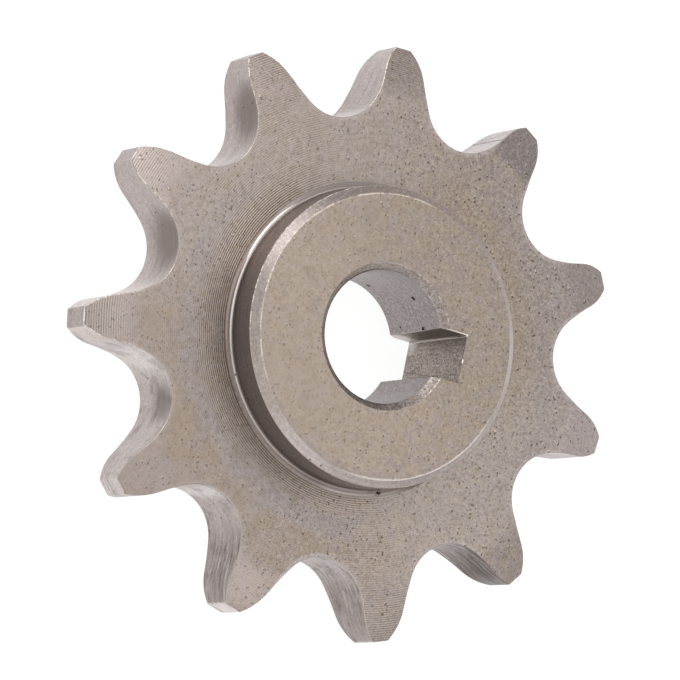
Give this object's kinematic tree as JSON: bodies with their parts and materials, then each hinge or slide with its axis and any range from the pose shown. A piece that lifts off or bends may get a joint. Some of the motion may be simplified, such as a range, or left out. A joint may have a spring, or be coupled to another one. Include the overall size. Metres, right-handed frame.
{
  "type": "chain sprocket",
  "caption": "Small steel roller-chain sprocket with a hub on one side and a plain bore with a keyway.",
  "frame": {"origin": "on the bore's axis, in the middle of the tooth ring's thickness", "axes": "+Z along the bore's axis, towards the hub's face; +X from the axis towards the keyway"},
  "size_m": [0.05, 0.0498, 0.0097],
  "materials": {
    "bare_steel": "turned, uncoated, lightly worn"
  },
  "bodies": {
    "root": {"sprocket": "bare_steel"}
  },
  "joints": []
}
